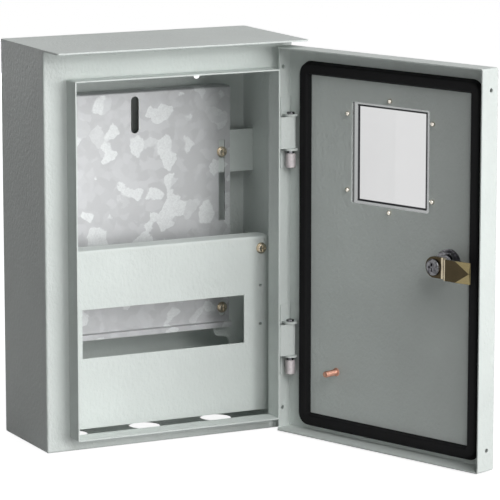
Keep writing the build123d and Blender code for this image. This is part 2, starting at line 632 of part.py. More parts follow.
# Lock: body through the door, nut and washer inside, plug, cranked cam and screw
def make_lock_body():
    head = rod_y(LOCK_X, LOCK_Z, LOCK_HEAD_R, DOOR_Y - LOCK_HEAD_H, DOOR_Y)
    head = chamfer(edges_off(head, 1, DOOR_Y - LOCK_HEAD_H / 2, above=False), LOCK_HEAD_CHAMFER)
    barrel = rod_y(LOCK_X, LOCK_Z, LOCK_BODY_R, DOOR_Y, PANEL_Y + LOCK_LENGTH)
    bore = rod_y(LOCK_X, LOCK_Z, PLUG_R + PLUG_RUN, DOOR_Y - LOCK_HEAD_H - CUT_OVER, CAM_BACK_Y)
    return head + barrel - bore


def make_lock_washer():
    ring = rod_y(LOCK_X, LOCK_Z, LOCK_WASHER_R, PANEL_Y, PANEL_Y + LOCK_WASHER_THICK)
    return ring - rod_y(LOCK_X, LOCK_Z, LOCK_BODY_R + LOCK_FIT, PANEL_Y - CUT_OVER, PANEL_Y + CUT_OVER)


def make_lock_nut():
    seat = PANEL_Y + LOCK_WASHER_THICK
    outline = Pos(LOCK_X, LOCK_Z) * RegularPolygon(LOCK_NUT_FLATS / 2, 6, major_radius=False)
    end = seat + LOCK_NUT_H
    corner_r = LOCK_NUT_FLATS / 2 / cos(pi / 6)
    turned = rod_y(LOCK_X, LOCK_Z, corner_r, seat, end)
    turned = chamfer(edges_off(turned, 1, seat + LOCK_NUT_H / 2), LOCK_NUT_CHAMFER)
    nut = turned & front_plate(outline, seat, end)
    return nut - rod_y(LOCK_X, LOCK_Z, LOCK_BODY_R + LOCK_FIT, seat - CUT_OVER, end + CUT_OVER)


def make_plug():
    front = DOOR_Y - LOCK_HEAD_H + PLUG_RECESS
    end = PANEL_Y + LOCK_LENGTH
    plug = rod_y(LOCK_X, LOCK_Z, PLUG_R, front, end)
    square = Pos(LOCK_X, LOCK_Z) * Rectangle(CAM_SQUARE, CAM_SQUARE)
    plug += front_plate(square, end, CAM_BACK_Y)
    key_slot = Pos(LOCK_X, LOCK_Z) * Rectangle(KEY_SLOT_WIDTH, KEY_SLOT_LENGTH)
    plug -= front_plate(key_slot, front, front + KEY_SLOT_DEPTH)
    bore_foot = CAM_BACK_Y - CAM_SCREW_LENGTH - SHEET
    return plug - rod_y(LOCK_X, LOCK_Z, CAM_SCREW_R + SCREW_FIT, bore_foot, CAM_BACK_Y)


# Cam: cranked strap whose two tip corners are struck down into slanting facets
def make_cam():
    start = LOCK_X - CAM_CRANK_START
    end = start - CAM_CRANK_RUN
    tip = LOCK_X - CAM_REACH
    half = CAM_WIDTH / 2
    far = LOCK_X + half
    side = [(far, CAM_Y), (start, CAM_Y), (end, CAM_Y + CAM_CRANK), (tip, CAM_Y + CAM_CRANK)]
    slope = atan2(CAM_CRANK, CAM_CRANK_RUN)
    shift = CAM_SHEET * (1 - cos(slope)) / sin(slope)
    top = CAM_BACK_Y + CAM_CRANK
    side += [(tip, top), (end + shift, top), (start + shift, CAM_BACK_Y), (far, CAM_BACK_Y)]
    strap = flat_plate(make_face(Polyline(*side, close=True)), LOCK_Z - half, LOCK_Z + half)
    hub = Pos(LOCK_X, LOCK_Z) * Circle(half)
    arm = Pos((LOCK_X + tip) / 2, LOCK_Z) * Rectangle(CAM_REACH, CAM_WIDTH)
    cam = strap & front_plate(hub + arm, CAM_Y - CUT_OVER, top + CUT_OVER)
    for way in (-1, 1):
        across = (CAM_FACET_LENGTH, 0, way * half)
        outward = (-half * CAM_FACET_DROP, half * CAM_FACET_LENGTH, way * CAM_FACET_LENGTH * CAM_FACET_DROP)
        facet = Plane((tip, top, LOCK_Z), x_dir=across, z_dir=outward)
        cam -= facet * Pos(0, 0, CAM_REACH / 2) * Box(CAM_REACH, CAM_REACH, CAM_REACH)
    hole = Rectangle(CAM_SQUARE + 2 * CAM_SQUARE_FIT, CAM_SQUARE + 2 * CAM_SQUARE_FIT)
    return cam - front_plate(Pos(LOCK_X, LOCK_Z) * hole, CAM_Y - CUT_OVER, CAM_BACK_Y + CUT_OVER)


def make_cam_screw():
    top = CAM_BACK_Y + CAM_SCREW_HEAD_H
    head = rod_y(LOCK_X, LOCK_Z, CAM_SCREW_HEAD_R, CAM_BACK_Y, top)
    head = fillet(edges_off(head, 1, CAM_BACK_Y + CAM_SCREW_HEAD_H / 2), CAM_SCREW_DOME)
    shank = rod_y(LOCK_X, LOCK_Z, CAM_SCREW_R, CAM_BACK_Y - CAM_SCREW_LENGTH, CAM_BACK_Y)
    slot = Rectangle(CAM_SCREW_HEAD_R, 2 * DRIVE_WIDTH) + Rectangle(2 * DRIVE_WIDTH, CAM_SCREW_HEAD_R)
    return head + shank - front_plate(Pos(LOCK_X, LOCK_Z) * slot, top - DRIVE_DEPTH, top)


def solids_of(shape):
    """The separate solids of one piece or a list of pieces."""
    shapes = shape if isinstance(shape, (list, tuple)) else [shape]
    return [solid for piece in shapes for solid in piece.solids()]


def save(name, shape):
    """One STEP file per named piece."""
    solids = solids_of(shape)
    piece = solids[0] if len(solids) == 1 else Compound(children=solids)
    export_step(piece, "parts/" + name + ".step")


os.makedirs("parts", exist_ok=True)

# Fixed pieces
save("casing", make_casing())
save("rain_roof", make_roof())
save("upper_crossbar", make_crossbar(UPPER_BAR_Z))
save("lower_crossbar", make_crossbar(LOWER_BAR_Z))
save("meter_plate", make_meter_plate())
plate_places = [(x, z) for x in (-PLATE_SCREW_X, PLATE_SCREW_X) for z in (UPPER_BAR_Z, LOWER_BAR_Z)]
plate_seat = -BAR_FRONT - PLATE_SHEET
plate_stack = WASHER_THICK + PLATE_SHEET + BAR_SHEET + SCREW_TAIL
save("plate_washers", [make_washer(x, z, plate_seat) for x, z in plate_places])
save("plate_screws", [make_screw(x, z, plate_seat - WASHER_THICK, plate_stack) for x, z in plate_places])
save("din_rail", make_rail())
save("rail_brackets", both_sides(make_rail_bracket()))
rail_seat = -RAIL_BACK - RAIL_SHEET
rail_stack = WASHER_THICK + RAIL_SHEET + BRACKET_SHEET + SCREW_TAIL
rail_screw_z = RAIL_Z + RAIL_SCREW_RISE
save("rail_washers", [make_washer(x, rail_screw_z, rail_seat) for x in (-RAIL_SLOT_X, RAIL_SLOT_X)])
save("rail_screws", [make_screw(x, rail_screw_z, rail_seat - WASHER_THICK, rail_stack)
                     for x in (-RAIL_SLOT_X, RAIL_SLOT_X)])
save("cover_panel", make_cover())
save("cover_brackets", both_sides(make_cover_bracket()))
cover_stack = WASHER_THICK + COVER_SHEET + ANGLE_SHEET + SCREW_TAIL
save("cover_washers", [make_washer(x, COVER_SCREW_Z, COVER_Y) for x in (-COVER_SCREW_X, COVER_SCREW_X)])
save("cover_screws", [make_screw(x, COVER_SCREW_Z, COVER_Y - WASHER_THICK, cover_stack)
                      for x in (-COVER_SCREW_X, COVER_SCREW_X)])
save("ground_stud", Pos(INNER_X, RIM_Y + WALL_STUD_FROM_RIM, WALL_STUD_Z) * Rot(0, -90, 0) * make_stud())
save("hinge_leaf_upper", make_leaf(HINGE_UPPER_Z))
save("hinge_leaf_lower", make_leaf(HINGE_LOWER_Z))

# Door pieces, drawn closed and swung open
door_stud_x = DOOR_X - DOOR_STUD_FROM_HINGE
door_stud_z = DOOR_FOOT_Z + DOOR_STUD_FROM_FOOT
door_stud = Pos(door_stud_x, PANEL_Y, door_stud_z) * Rot(-90, 0, 0) * make_stud()
save("door_pan", swing_open(make_door_pan()))
save("door_gasket", swing_open(make_gasket()))
save("window_pane", swing_open(make_pane()))
save("window_screws", [swing_open(make_pane_screw(x, z)) for x, z in pane_screw_places()])
save("window_nuts", [swing_open(make_pane_nut(x, z)) for x, z in pane_screw_places()])
save("door_stud", swing_open(door_stud))
save("lock_body", swing_open(make_lock_body()))
save("lock_washer", swing_open(make_lock_washer()))
save("lock_nut", swing_open(make_lock_nut()))
save("lock_plug", swing_open(make_plug()))
save("lock_cam", swing_open(make_cam()))
save("cam_screw", swing_open(make_cam_screw()))
for place, hinge_z in (("upper", HINGE_UPPER_Z), ("lower", HINGE_LOWER_Z)):
    save("hinge_bracket_" + place, swing_open(make_hinge_bracket(hinge_z)))
    save("hinge_pin_" + place, swing_open(make_pin(hinge_z)))
    save("hinge_bush_" + place, swing_open(make_bush(hinge_z)))
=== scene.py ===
import json
import math

import bmesh
import bpy
import numpy as np
from mathutils import Matrix, Vector


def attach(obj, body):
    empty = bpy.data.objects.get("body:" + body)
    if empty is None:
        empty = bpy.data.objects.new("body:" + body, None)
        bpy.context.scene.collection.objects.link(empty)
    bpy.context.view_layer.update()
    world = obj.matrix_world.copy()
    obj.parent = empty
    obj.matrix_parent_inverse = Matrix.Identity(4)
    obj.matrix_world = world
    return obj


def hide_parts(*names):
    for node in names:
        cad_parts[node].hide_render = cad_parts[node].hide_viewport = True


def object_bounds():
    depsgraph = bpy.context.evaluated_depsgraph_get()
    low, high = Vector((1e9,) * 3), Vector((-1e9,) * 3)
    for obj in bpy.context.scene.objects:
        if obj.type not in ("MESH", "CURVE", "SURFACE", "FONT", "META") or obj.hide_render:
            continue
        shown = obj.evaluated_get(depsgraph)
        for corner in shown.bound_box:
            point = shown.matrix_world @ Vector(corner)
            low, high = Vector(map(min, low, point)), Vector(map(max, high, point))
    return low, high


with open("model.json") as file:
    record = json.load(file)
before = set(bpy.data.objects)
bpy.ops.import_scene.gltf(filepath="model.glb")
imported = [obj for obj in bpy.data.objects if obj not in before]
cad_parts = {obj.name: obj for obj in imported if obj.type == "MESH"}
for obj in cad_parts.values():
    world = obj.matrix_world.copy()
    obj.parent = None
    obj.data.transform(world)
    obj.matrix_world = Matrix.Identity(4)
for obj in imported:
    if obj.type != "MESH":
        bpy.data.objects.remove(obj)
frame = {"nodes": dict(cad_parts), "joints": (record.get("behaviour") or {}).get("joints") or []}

bl_info = {
    "name": "Electrical enclosure looks",
    "version": (1, 0, 0),
    "blender": (4, 5, 0),
    "location": "3D View > Sidebar > Enclosure",
    "description": "Finishes, small turned parts and studio for a sheet-metal enclosure",
    "category": "Object",
}

MM = 0.001
CAD_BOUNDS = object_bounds()
HINGE = next(joint for joint in frame["joints"] if joint["name"] == "door_hinge")
PIN = np.array(HINGE["pos_m"])
OPEN_ANGLE = math.radians(-HINGE["range_deg"][0])
ROOT_BODY = "enclosure"
DOOR_BODY = "door"

# CAD pieces under the name of their finish
DRESSED_NODES = {
    "powder coat": (
        "casing", "rain_roof", "upper_crossbar", "lower_crossbar", "rail_brackets", "cover_panel",
        "cover_brackets", "hinge_leaf_upper", "hinge_leaf_lower", "door_pan",
        "hinge_bracket_upper", "hinge_bracket_lower",
    ),
    "galvanised sheet": ("meter_plate", "din_rail"),
    "yellow passivate": (
        "plate_screws", "plate_washers", "rail_screws", "rail_washers", "cover_screws",
        "cover_washers", "window_screws",
    ),
    "bright plating": (
        "hinge_pin_upper", "hinge_pin_lower", "lock_nut", "lock_washer", "lock_plug", "cam_screw",
        "lock_body",
    ),
    "dull zinc": ("hinge_bush_upper", "hinge_bush_lower"),
    "bright zinc": ("window_nuts",),
    # the cam's finish carries painted shade and painted highlights
    "passivate with painted shade and highlights": ("lock_cam",),
    "clear sheet": ("window_pane",),
    "copper coat": ("ground_stud", "door_stud"),
    "gasket foam": ("door_gasket",),
}


# Sizes and colours that a user would change
class ENCLOSURE_PG_finish(bpy.types.PropertyGroup):
    """Colours and grain of the finishes"""
    paint_colour: bpy.props.FloatVectorProperty(
        name="Paint", description="Colour of the powder coat", subtype="COLOR", size=3,
        min=0.0, max=1.0, default=(0.69, 0.735, 0.712))
    paint_roughness: bpy.props.FloatProperty(
        name="Paint roughness", description="Mean roughness of the powder coat",
        min=0.0, max=1.0, default=0.46)
    peel_size: bpy.props.FloatProperty(
        name="Orange peel", description="Width of one ripple of the powder coat",
        subtype="DISTANCE", unit="LENGTH", min=0.0005, max=0.01, default=0.0029)
    zinc_colour: bpy.props.FloatVectorProperty(
        name="Zinc", description="Colour of the galvanised sheet", subtype="COLOR", size=3,
        min=0.0, max=1.0, default=(0.545, 0.55, 0.56))
    flake_colour: bpy.props.FloatVectorProperty(
        name="Bright crystals", description="Colour of the brightest zinc crystals",
        subtype="COLOR", size=3, min=0.0, max=1.0, default=(0.78, 0.80, 0.80))
    spangle_size: bpy.props.FloatProperty(
        name="Spangle", description="Width of one zinc crystal",
        subtype="DISTANCE", unit="LENGTH", min=0.002, max=0.05, default=0.022)
    foam_colour: bpy.props.FloatVectorProperty(
        name="Foam", description="Colour of the gasket", subtype="COLOR", size=3,
        min=0.0, max=1.0, default=(0.0045, 0.0045, 0.005))
    passivate_colour: bpy.props.FloatVectorProperty(
        name="Yellow zinc", description="Colour of the passivated screws", subtype="COLOR", size=3,
        min=0.0, max=1.0, default=(0.66, 0.58, 0.46))
    copper_colour: bpy.props.FloatVectorProperty(
        name="Copper", description="Colour of the earth studs", subtype="COLOR", size=3,
        min=0.0, max=1.0, default=(0.50, 0.27, 0.20))


class ENCLOSURE_PG_parts(bpy.types.PropertyGroup):
    """Sizes of the threads, of the window's face and of the foam"""
    thread_pitch: bpy.props.FloatProperty(
        name="Lock thread pitch", description="Pitch of the thread on the lock body",
        subtype="DISTANCE", unit="LENGTH", min=0.0005, max=0.004, default=0.0015)
    stud_pitch: bpy.props.FloatProperty(
        name="Stud thread pitch", description="Pitch of the thread on the earth studs",
        subtype="DISTANCE", unit="LENGTH", min=0.0004, max=0.002, default=0.0008)
    pane_face_width: bpy.props.FloatProperty(
        name="Pane face width", description="Width of the flat middle of the window",
        subtype="DISTANCE", unit="LENGTH", min=0.02, max=0.2, default=0.081)
    pane_face_height: bpy.props.FloatProperty(
        name="Pane face height", description="Height of the flat middle of the window",
        subtype="DISTANCE", unit="LENGTH", min=0.02, max=0.2, default=0.087)
    foam_width: bpy.props.FloatProperty(
        name="Foam width", description="Width of the gasket strip on the panel",
        subtype="DISTANCE", unit="LENGTH", min=0.004, max=0.02, default=0.0128)
    foam_lean: bpy.props.FloatProperty(
        name="Foam lean", description="How far the sides of the gasket lean in below its crown",
        subtype="DISTANCE", unit="LENGTH", min=0.0, max=0.004, default=0.0013)
    foam_corner: bpy.props.FloatProperty(
        name="Foam corner", description="Radius of the gasket's outer corners",
        subtype="DISTANCE", unit="LENGTH", min=0.004, max=0.03, default=0.012)
    foam_crown: bpy.props.FloatProperty(
        name="Foam crown", description="Rounding of the top of the gasket",
        subtype="DISTANCE", unit="LENGTH", min=0.0005, max=0.004, default=0.0026)


class ENCLOSURE_PG_stage(bpy.types.PropertyGroup):
    """Camera, lamps, room and floor"""
    camera_place: bpy.props.FloatVectorProperty(
        name="Camera", description="Place of the camera",
        subtype="TRANSLATION", unit="LENGTH", size=3, default=(-1.22872, -2.72971, 0.51901))
    camera_azimuth: bpy.props.FloatProperty(
        name="Azimuth", description="How far the camera looks to the right of straight back",
        subtype="ANGLE", unit="ROTATION", default=math.radians(26.4843))
    camera_tilt: bpy.props.FloatProperty(
        name="Tilt", description="How far the camera looks down",
        subtype="ANGLE", unit="ROTATION", default=math.radians(10.2462))
    camera_lens: bpy.props.FloatProperty(
        name="Lens", description="Focal length on a 36 mm sensor, in mm",
        min=20.0, max=400.0, default=231.09)
    key_power: bpy.props.FloatProperty(
        name="Key", description="Power of the lamp high on the right",
        subtype="POWER", min=0.0, default=16.0)
    right_power: bpy.props.FloatProperty(
        name="Right", description="Power of the low lamp on the right",
        subtype="POWER", min=0.0, default=51.0)
    front_power: bpy.props.FloatProperty(
        name="Front", description="Power of the raised lamp in front",
        subtype="POWER", min=0.0, default=32.5)
    left_power: bpy.props.FloatProperty(
        name="Left", description="Power of the lamp that rakes the left side",
        subtype="POWER", min=0.0, default=3.5)
    back_power: bpy.props.FloatProperty(
        name="Back", description="Power of the lamp behind", subtype="POWER", min=0.0, default=24.0)
    sky_level: bpy.props.FloatProperty(
        name="Room", description="Level of the even light of the room",
        min=0.0, max=2.0, default=0.05)
    floor_tone: bpy.props.FloatProperty(
        name="Floor", description="How much light the pale floor throws back",
        min=0.0, max=1.0, default=0.3)
    floor_glow: bpy.props.FloatProperty(
        name="Floor glow", description="What the eye sees of the floor on top of that light",
        min=0.0, max=1.0, default=0.9)


# Where the CAD pieces are
def turn_about_pin(points, angle):
    """Points turned about the door's pin: P' = R(angle) (P - pin) + pin."""
    c, s = math.cos(angle), math.sin(angle)
    turn = np.array([[c, -s, 0.0], [s, c, 0.0], [0.0, 0.0, 1.0]])
    return (points - PIN) @ turn.T + PIN


def swing_open(points):
    """Points of the closed door in the open rest pose."""
    return turn_about_pin(points, OPEN_ANGLE)


def swing_shut(points):
    """Points of the open door in the closed pose."""
    return turn_about_pin(points, -OPEN_ANGLE)


def node_points(node):
    """All mesh points of a CAD node at rest."""
    mesh = frame["nodes"][node].data
    flat = np.zeros(len(mesh.vertices) * 3)
    mesh.vertices.foreach_get("co", flat)
    return flat.reshape(-1, 3)


def box_of(points):
    """Lowest and highest corner of a set of points."""
    return points.min(axis=0), points.max(axis=0)


def shut_box(node):
    """Lowest and highest corner of a door node in the closed pose."""
    return box_of(swing_shut(node_points(node)))


def door_axis(node):
    """Foot of a turned piece on the open door, and the line from there to its tip."""
    low, high = shut_box(node)
    centre = (low + high) / 2
    foot = swing_open(np.array([centre[0], low[1], centre[2]]))
    tip = swing_open(np.array([centre[0], high[1], centre[2]]))
    return foot, tip - foot


def wall_axis(node):
    """Foot of a turned piece on the right wall, and the line from there to its left tip."""
    low, high = box_of(node_points(node))
    centre = (low + high) / 2
    foot = np.array([high[0], centre[1], centre[2]])
    tip = np.array([low[0], centre[1], centre[2]])
    return foot, tip - foot


def radial(points, base, axis):
    """Height along an axis and distance from it, of each point."""
    w = axis / np.linalg.norm(axis)
    along = (points - base) @ w
    return along, np.linalg.norm(points - base - along[:, None] * w, axis=1)


# Surfaces
SEAM_GAP = 1e-6
SHORTEST_EDGE = 1e-7
UPRIGHT = 0.9  # an axis whose z is above this is close to vertical
TURNED_STEPS = 64
ROD_STEPS = 48
ROWS_PER_THREAD = 8


def surface(name, grid, close_u=False, close_v=False):
    """Mesh object from an array of points P(u, v), joined to its own start where closed."""
    rows, columns = grid.shape[:2]
    index = np.arange(rows * columns).reshape(rows, columns)
    u = np.arange(rows if close_u else rows - 1)
    v = np.arange(columns if close_v else columns - 1)
    uu, vv = np.meshgrid(u, v, indexing="ij")
    u1 = (uu + 1) % rows
    v1 = (vv + 1) % columns
    corners = [index[uu, vv], index[u1, vv], index[u1, v1], index[uu, v1]]
    quads = np.stack(corners, axis=-1).reshape(-1, 4)
    mesh = bpy.data.meshes.new(name)
    mesh.from_pydata(grid.reshape(-1, 3).tolist(), [], quads.tolist())
    piece = bpy.data.objects.new(name, mesh)
    bpy.context.scene.collection.objects.link(piece)
    mend(mesh)
    return piece


def mend(mesh):
    """Closes seams and poles by merging doubles, then points the faces outwards."""
    work = bmesh.new()
    work.from_mesh(mesh)
    bmesh.ops.remove_doubles(work, verts=work.verts, dist=SEAM_GAP)
    bmesh.ops.dissolve_degenerate(work, edges=work.edges, dist=SHORTEST_EDGE)
    bmesh.ops.recalc_face_normals(work, faces=work.faces)
    work.to_mesh(mesh)
    work.free()


def smooth(piece, angle):
    """Smooth shading up to an edge angle in degrees."""
    mesh = piece.data
    mesh.shade_smooth()
    mesh.set_sharp_from_angle(angle=math.radians(angle))


def join_pieces(name, pieces):
    """One object from several meshes, each kept as its own closed shell."""
    work = bmesh.new()
    for piece in pieces:
        work.from_mesh(piece.data)
    mesh = bpy.data.meshes.new(name)
    work.to_mesh(mesh)
    work.free()
    for piece in pieces:
        old = piece.data
        bpy.data.objects.remove(piece)
        bpy.data.meshes.remove(old)
    whole = bpy.data.objects.new(name, mesh)
    bpy.context.scene.collection.objects.link(whole)
    return whole


def frame_from_axis(axis):
    """Two unit vectors square to an axis, and the axis itself at unit length."""
    w = axis / np.linalg.norm(axis)
    helper = np.array([0.0, 0.0, 1.0]) if abs(w[2]) < UPRIGHT else np.array([1.0, 0.0, 0.0])
    u = np.cross(helper, w)
    u /= np.linalg.norm(u)
    return u, np.cross(w, u), w


def full_circle(steps):
    """Angles of one turn, without its end."""
    return np.linspace(0, 2 * math.pi, steps, endpoint=False)


def spun(radii, heights, angles, base, axis):
    """Grid of a spun surface: P(a, h) = base + r(a, h) (u cos a + v sin a) + h w."""
    u, v, w = frame_from_axis(axis)
    ring = np.cos(angles)[:, None] * u + np.sin(angles)[:, None] * v
    return base + radii[:, :, None] * ring[:, None, :] + heights[None, :, None] * w


def turned(name, profile, base, axis):
    """Profile of (radius, height) pairs spun about an axis, with r the same all round."""
    r, h = np.array(profile, float).T
    radii = np.broadcast_to(r, (TURNED_STEPS, len(r)))
    return surface(name, spun(radii, h, full_circle(TURNED_STEPS), base, axis), close_u=True)


def thread_radii(radius, depth, pitch, heights, angles):
    """Thread: r = radius - depth (1 - triangle wave of h / pitch - a / 2 pi), with the wave
    faded out over one pitch at both ends."""
    phase = (heights[None, :] / pitch - angles[:, None] / (2 * math.pi)) % 1.0
    fade = np.clip(np.minimum(heights - heights[0], heights[-1] - heights) / pitch, 0, 1)
    return radius - depth * (1 - np.abs(2 * phase - 1) * fade[None, :])


def threaded_rod(name, radius, low, high, pitch, depth, base, axis):
    """Threaded rod between two heights, closed by flat ends."""
    heights = np.linspace(low, high, int((high - low) / pitch * ROWS_PER_THREAD))
    angles = full_circle(ROD_STEPS)
    pole = np.zeros((ROD_STEPS, 1))
    radii = thread_radii(radius, depth, pitch, heights, angles)
    radii = np.concatenate([pole, radii, pole], axis=1)
    heights = np.concatenate([[low], heights, [high]])
    return surface(name, spun(radii, heights, angles, base, axis), close_u=True)


def rounded_loop(wide, tall, radius, steps):
    """Rounded rectangle about zero: four quarter circles P = corner + r (cos a, sin a), one
    after the other, each with the same number of points."""
    quarter = np.linspace(0, math.pi / 2, steps)
    loop = []
    for turn, (sx, sz) in enumerate(((1, 1), (-1, 1), (-1, -1), (1, -1))):
        angle = quarter + turn * math.pi / 2
        corner = np.array([sx * (wide / 2 - radius), sz * (tall / 2 - radius)])
        loop.append(corner + radius * np.stack([np.cos(angle), np.sin(angle)], axis=-1))
    return np.concatenate(loop)


# Shader helpers
WHOLE = (0.0, 1.0)
CLOUD_SPAN = (0.35, 0.65)  # the middle of a noise, where most of it lies
SPECK_SPAN = (0.3, 0.7)


def feed(tree, value, socket):
    """Gives a socket its value: another socket, a number or a colour."""
    if isinstance(value, bpy.types.NodeSocket):
        tree.links.new(value, socket)
    elif isinstance(value, (int, float)):
        socket.default_value = value
    else:
        socket.default_value = (*value[:3], 1.0)


def new_group(name, inputs, outputs):
    """Shader node group with number sockets, its inputs given as label and default."""
    tree = bpy.data.node_groups.new(name, "ShaderNodeTree")
    for label, default in inputs.items():
        socket = tree.interface.new_socket(label, in_out="INPUT", socket_type="NodeSocketFloat")
        socket.default_value = default
    for label in outputs:
        tree.interface.new_socket(label, in_out="OUTPUT", socket_type="NodeSocketFloat")
    return tree, tree.nodes.new("NodeGroupInput"), tree.nodes.new("NodeGroupOutput")


def place_group(tree, group, **values):
    """Outputs of a node group placed in a material with these inputs."""
    node = tree.nodes.new("ShaderNodeGroup")
    node.node_tree = bpy.data.node_groups[group]
    for label, value in values.items():
        node.inputs[label].default_value = value
    return node.outputs


def object_coordinates(tree):
    """Coordinates of the piece in metres, which stay with it when it moves."""
    return tree.nodes.new("ShaderNodeTexCoord").outputs["Object"]


def math_node(tree, operation, *values):
    """Math node fed by sockets or numbers."""
    node = tree.nodes.new("ShaderNodeMath")
    node.operation = operation
    for socket, value in zip(node.inputs, values):
        feed(tree, value, socket)
    return node.outputs[0]


def noise_node(tree, vector, scale, detail, roughness):
    """Noise texture whose scale may be a socket or a number."""
    node = tree.nodes.new("ShaderNodeTexNoise")
    tree.links.new(vector, node.inputs["Vector"])
    feed(tree, scale, node.inputs["Scale"])
    node.inputs["Detail"].default_value = detail
    node.inputs["Roughness"].default_value = roughness
    return node


def range_node(tree, value, span, result=WHOLE):
    """Maps a value from one span to another, clamped."""
    node = tree.nodes.new("ShaderNodeMapRange")
    tree.links.new(value, node.inputs["Value"])
    for label, number in zip(("From Min", "From Max", "To Min", "To Max"), (*span, *result)):
        node.inputs[label].default_value = number
    return node.outputs["Result"]


def colour_mix(tree, factor, first, second):
    """Mix node for colours; each side is a socket or a colour."""
    node = tree.nodes.new("ShaderNodeMix")
    node.data_type = "RGBA"
    tree.links.new(factor, node.inputs["Factor"])
    feed(tree, first, node.inputs["A"])
    feed(tree, second, node.inputs["B"])
    return node.outputs["Result"]


def shut_axes(tree):
    """Object coordinates of a door piece turned back to the closed door, as x, y and z."""
    shut = tree.nodes.new("ShaderNodeMapping")
    shut.inputs["Rotation"].default_value = (0.0, 0.0, -OPEN_ANGLE)
    shut.inputs["Location"].default_value = swing_shut(np.zeros(3))
    tree.links.new(object_coordinates(tree), shut.inputs["Vector"])
    split = tree.nodes.new("ShaderNodeSeparateXYZ")
    tree.links.new(shut.outputs[0], split.inputs[0])
    return split.outputs


def tinted(colour, factor):
    """A colour made lighter or darker."""
    return tuple(min(1.0, channel * factor) for channel in colour)


def new_material(name):
    """Material with a Principled shader; returns its node tree and the shader."""
    material = bpy.data.materials.new(name)
    material.use_nodes = True
    tree = material.node_tree
    return tree, tree.nodes["Principled BSDF"]


def wandering_gloss(tree, shader, speck, low, high):
    """Roughness that wanders between two values with a speckle."""
    roughness = range_node(tree, speck, SPECK_SPAN, (low, high))
    tree.links.new(roughness, shader.inputs["Roughness"])


def relief(tree, shader, height, strength, distance):
    """Bump of a material from a height; strength is 0 to 1, distance in metres."""
    node = tree.nodes.new("ShaderNodeBump")
    node.inputs["Strength"].default_value = strength
    node.inputs["Distance"].default_value = distance
    tree.links.new(height, node.inputs["Height"])
    tree.links.new(node.outputs["Normal"], shader.inputs["Normal"])


def dress(piece, finish):
    """Gives every face of a piece one material."""
    piece.data.materials.clear()
    piece.data.materials.append(bpy.data.materials[finish])


# Shared shader groups
SPECK_FINENESS = 2.7  # specks to a ripple
SPANGLE_RAG = 0.016  # how far the noise pulls the outlines of the crystals, in metres
BRIGHT_CRYSTALS = (1.6, 0.35)  # scale and smoothness
PLAIN_CRYSTALS = (2.6, 0.45)
BRIGHT_SPAN = (0.66, 0.84)  # the few crystals with values above this are bright
TONE_SPAN = (0.2, 0.8)
FROST_FINENESS = 14.0
FROST_ON_BRIGHT = (0.45, 0.95)


def grain_group():
    """Ripple height, a slow cloud and fine specks for powder coat, metal, foam and glazing:
    three noises, with Ripple, Mottle and a few times Ripple waves a metre. A Stretch below 1
    draws the first and the last out along z."""
    tree, enter, leave = new_group(
        "surface grain", {"Ripple": 450.0, "Mottle": 9.0, "Stretch": 1.0},
        ("Height", "Cloud", "Speck"))
    place = object_coordinates(tree)
    factors = tree.nodes.new("ShaderNodeCombineXYZ")
    factors.inputs["X"].default_value = 1.0
    factors.inputs["Y"].default_value = 1.0
    tree.links.new(enter.outputs["Stretch"], factors.inputs["Z"])
    drawn = tree.nodes.new("ShaderNodeVectorMath")
    drawn.operation = "MULTIPLY"
    tree.links.new(place, drawn.inputs[0])
    tree.links.new(factors.outputs[0], drawn.inputs[1])
    fine = math_node(tree, "MULTIPLY", enter.outputs["Ripple"], SPECK_FINENESS)
    ripple = noise_node(tree, drawn.outputs[0], enter.outputs["Ripple"], detail=2.0, roughness=0.55)
    cloud = noise_node(tree, place, enter.outputs["Mottle"], detail=4.0, roughness=0.6)
    speck = noise_node(tree, drawn.outputs[0], fine, detail=1.0, roughness=0.5)
    tree.links.new(ripple.outputs["Fac"], leave.inputs["Height"])
    tree.links.new(cloud.outputs["Fac"], leave.inputs["Cloud"])
    tree.links.new(speck.outputs["Fac"], leave.inputs["Speck"])


def crystal_cells(tree, place, scale, smoothness):
    """A random value for each soft-edged crystal, with scale crystals to the metre."""
    cell = tree.nodes.new("ShaderNodeTexVoronoi")
    cell.feature = "SMOOTH_F1"
    cell.inputs["Smoothness"].default_value = smoothness
    tree.links.new(place, cell.inputs["Vector"])
    tree.links.new(scale, cell.inputs["Scale"])
    parts = tree.nodes.new("ShaderNodeSeparateColor")
    tree.links.new(cell.outputs["Color"], parts.inputs[0])
    return parts.outputs[0]


def spangle_group():
    """Zinc: soft angular crystals in ragged outlines, a few of them bright, and a fine frost."""
    tree, enter, leave = new_group("zinc spangle", {"Scale": 48.0}, ("Tone", "Bright", "Frost"))
    place = object_coordinates(tree)
    scale = enter.outputs["Scale"]
    ragged = noise_node(tree, place, scale, detail=4.0, roughness=0.6)
    pulled = tree.nodes.new("ShaderNodeVectorMath")
    pulled.operation = "MULTIPLY_ADD"
    pulled.inputs[1].default_value = (SPANGLE_RAG,) * 3
    tree.links.new(ragged.outputs["Color"], pulled.inputs[0])
    tree.links.new(place, pulled.inputs[2])
    values = []
    for share, smoothness in (BRIGHT_CRYSTALS, PLAIN_CRYSTALS):
        cell_scale = math_node(tree, "MULTIPLY", scale, share)
        values.append(crystal_cells(tree, pulled.outputs[0], cell_scale, smoothness))
    fine = math_node(tree, "MULTIPLY", scale, FROST_FINENESS)
    frost = noise_node(tree, place, fine, detail=5.0, roughness=0.7).outputs["Fac"]
    patch = range_node(tree, values[0], BRIGHT_SPAN)
    frosted = range_node(tree, frost, CLOUD_SPAN, FROST_ON_BRIGHT)
    bright = math_node(tree, "MULTIPLY", patch, frosted)
    tree.links.new(range_node(tree, values[1], TONE_SPAN), leave.inputs["Tone"])
    tree.links.new(bright, leave.inputs["Bright"])
    tree.links.new(frost, leave.inputs["Frost"])


